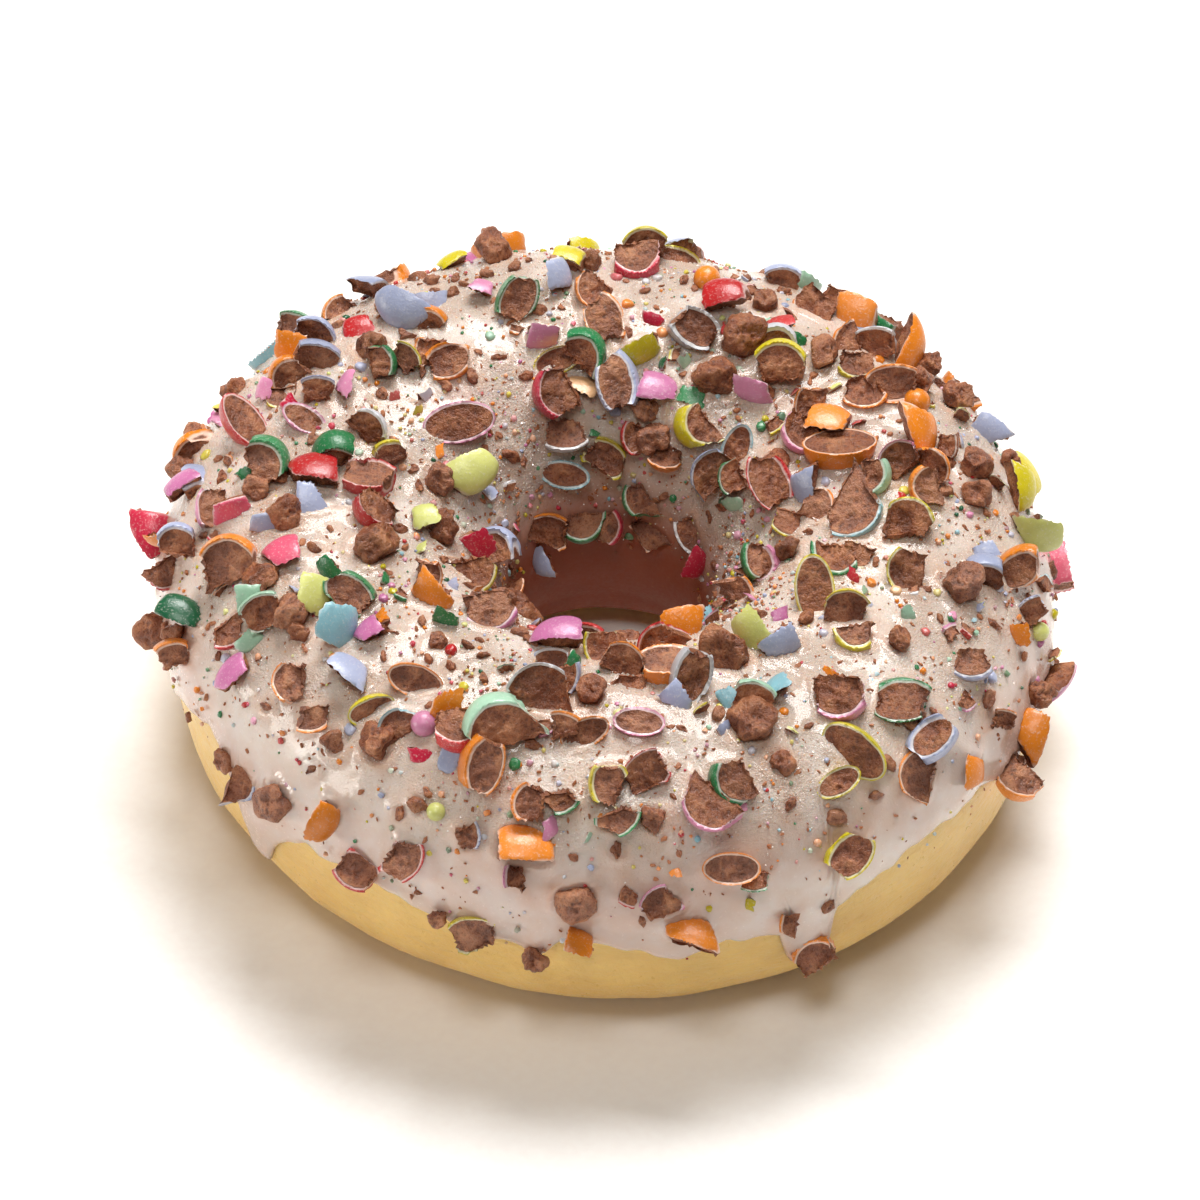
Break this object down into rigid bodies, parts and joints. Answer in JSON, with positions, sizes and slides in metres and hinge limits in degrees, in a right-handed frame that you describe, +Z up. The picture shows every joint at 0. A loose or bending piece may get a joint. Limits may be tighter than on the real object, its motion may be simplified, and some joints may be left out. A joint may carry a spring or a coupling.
{
  "type": "glazed ring doughnut with crushed chocolate lentils",
  "caption": "Fried ring doughnut with a white glaze cap running down in drips, strewn with broken sugar-shelled chocolate lentils.",
  "frame": {"origin": "middle of the part's box at the flat the ring rests on", "axes": "+Z up through the hole, +X to the right and -Y to the front as seen in the picture"},
  "size_m": [0.0962, 0.093, 0.0402],
  "materials": {
    "dough": "golden fried crust, satin",
    "icing": "white sugar glaze, with chocolate and coloured sugar shell pieces"
  },
  "bodies": {
    "root": {"dough": "dough", "icing": "icing"}
  },
  "joints": []
}
